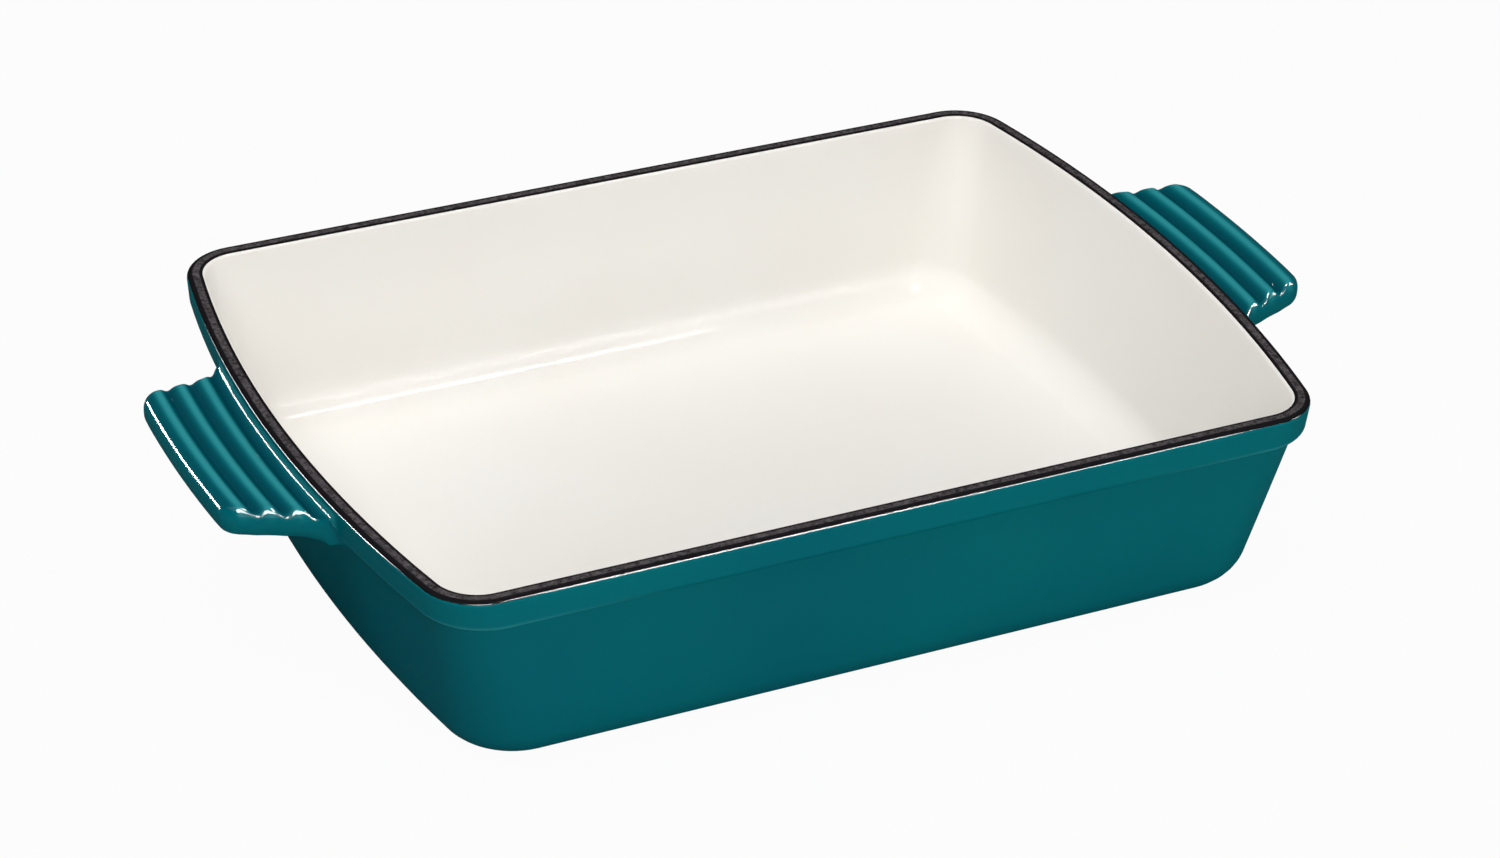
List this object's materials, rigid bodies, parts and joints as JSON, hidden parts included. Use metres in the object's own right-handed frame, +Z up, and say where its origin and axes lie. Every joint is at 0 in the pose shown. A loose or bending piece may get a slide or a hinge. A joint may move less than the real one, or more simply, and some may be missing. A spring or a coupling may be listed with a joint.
{
  "type": "roasting pan",
  "caption": "Open rectangular enamelled cast iron roasting pan with bowed ends, a raised collar under a matt black rim, a pale lining and fluted lug handles, for oven roasting and baking.",
  "frame": {"origin": "middle of the footprint, on the surface that the pan stands on", "axes": "+X along the length, through both handles; +Y across the width; +Z up out of the open mouth"},
  "size_m": [0.3938, 0.2412, 0.07],
  "materials": {
    "grey_iron": "as cast, fully covered by the coats",
    "teal_enamel": "glossy fired enamel",
    "cream_enamel": "satin gloss fired enamel",
    "black_ground_coat": "matt, finely pitted ground coat"
  },
  "bodies": {
    "root": {"pan_casting": "grey_iron", "exterior_enamel": "teal_enamel", "interior_enamel": "cream_enamel", "rim_enamel": "black_ground_coat"}
  },
  "joints": []
}
